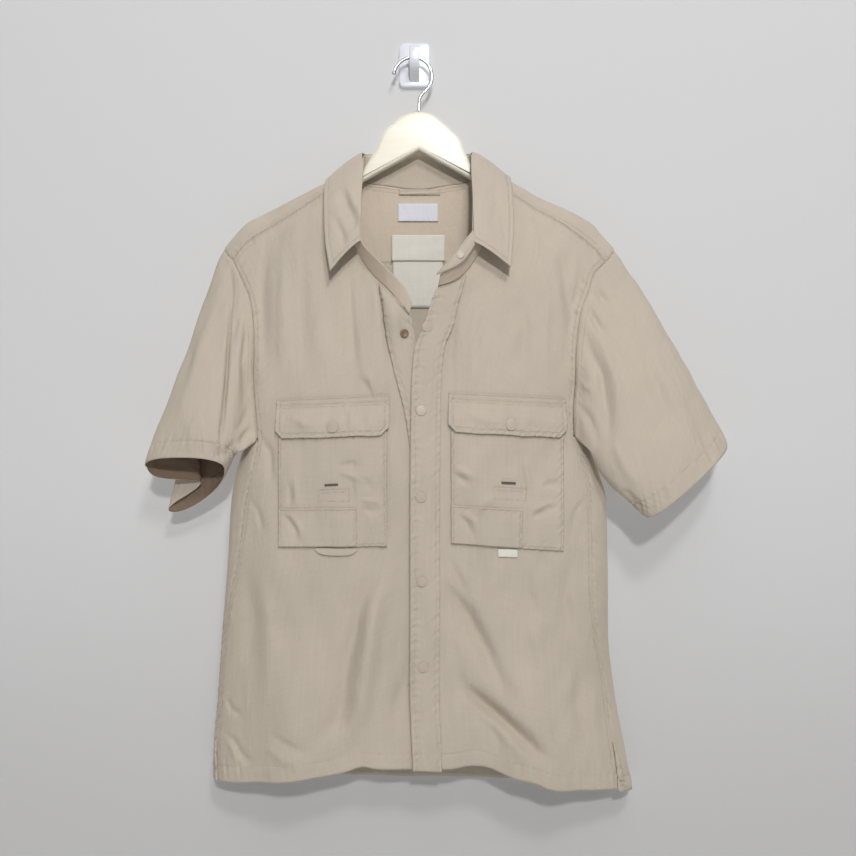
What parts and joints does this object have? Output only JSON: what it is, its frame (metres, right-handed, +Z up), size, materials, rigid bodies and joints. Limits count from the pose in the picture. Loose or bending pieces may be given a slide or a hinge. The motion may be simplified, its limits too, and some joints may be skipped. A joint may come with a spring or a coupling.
{
  "type": "short-sleeve work shirt on a wooden hanger with a wall hook",
  "caption": "Boxy short-sleeve shirt with flap pockets and a snap placket, hanging open at the neck on a wooden hanger from a wall hook.",
  "frame": {"origin": "middle of the wall hook plate's flat back, on the wall", "axes": "+Z up, +X to the viewer's right, +Y into the wall, so the shirt faces -Y"},
  "size_m": [0.6922, 0.1002, 0.9207],
  "materials": {
    "cloth": "matt woven cotton",
    "label": "smooth woven ribbon",
    "snap": "satin paint",
    "socket": "dull",
    "wood": "clear satin lacquer",
    "steel": "polished wire",
    "plastic": "moulded gloss"
  },
  "bodies": {
    "root": {"front_right": "cloth", "front_left": "cloth", "back": "cloth", "yoke": "cloth", "sleeve_right": "cloth", "sleeve_left": "cloth", "collar_stand": "cloth", "collar_leaf": "cloth", "placket_right": "cloth", "placket_left": "cloth", "pocket_bag_right": "cloth", "pocket_patch_right": "cloth", "pocket_flap_right": "cloth", "pocket_bag_left": "cloth", "pocket_patch_left": "cloth", "pocket_flap_left": "cloth", "pocket_tab": "cloth", "hanging_loop": "cloth", "pocket_label": "label", "neck_label": "label", "care_label": "label", "care_leaf": "label", "placket_snap_1": "snap", "placket_snap_2": "snap", "placket_snap_3": "snap", "placket_snap_4": "snap", "placket_snap_5": "snap", "flap_snap_right": "snap", "flap_snap_left": "snap", "placket_socket": "socket", "hanger_wood": "wood", "hanger_wire": "steel", "wall_hook": "plastic"}
  },
  "joints": []
}
